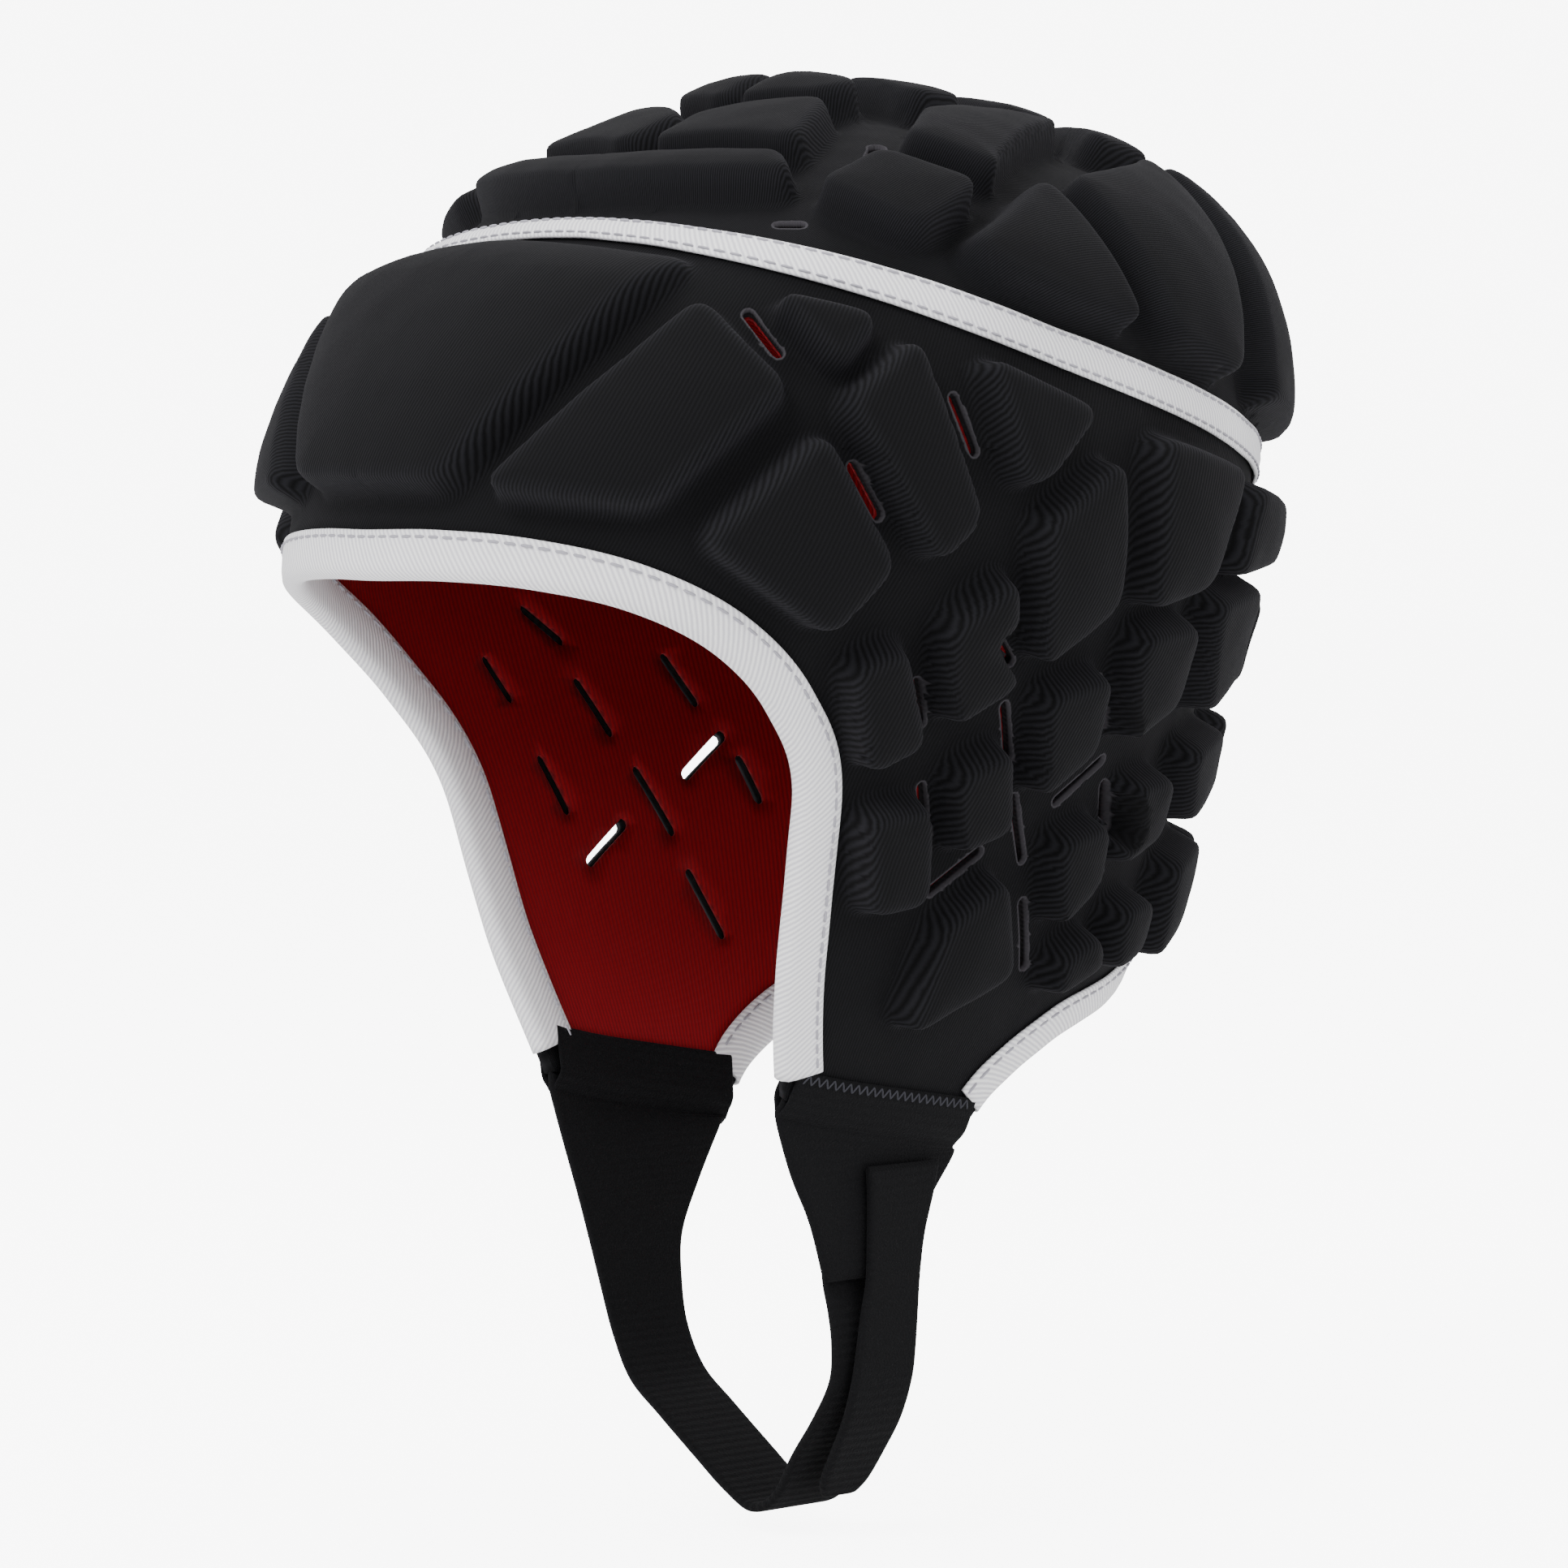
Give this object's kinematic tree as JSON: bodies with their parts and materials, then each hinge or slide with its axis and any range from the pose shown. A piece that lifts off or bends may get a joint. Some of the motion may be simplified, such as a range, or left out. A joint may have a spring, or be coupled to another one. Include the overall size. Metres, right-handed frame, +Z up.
{
  "type": "rugby scrum cap",
  "caption": "Padded scrum cap with grooved foam pads, a thin lining, taped crown seam, bound face and nape edges, ear tabs and a chin strap loop.",
  "frame": {"origin": "highest point inside the crown, where the top of the head touches the lining", "axes": "+Z up, -Y the way the wearer looks, +X towards the wearer's left ear"},
  "size_m": [0.1844, 0.2303, 0.3016],
  "materials": {
    "black_padded_knit": "fine matt knit over foam",
    "red_lining_knit": "matt knit",
    "white_twill_tape": "diagonal twill",
    "black_loop_strap": "matt loop pile"
  },
  "bodies": {
    "root": {"lower_panel": "black_padded_knit", "crown_panel": "black_padded_knit", "lower_lining": "red_lining_knit", "crown_lining": "red_lining_knit", "seam_tape": "white_twill_tape", "face_binding": "white_twill_tape", "nape_binding": "white_twill_tape", "right_strap": "black_loop_strap", "left_tab": "black_loop_strap", "left_strap": "black_loop_strap"}
  },
  "joints": []
}
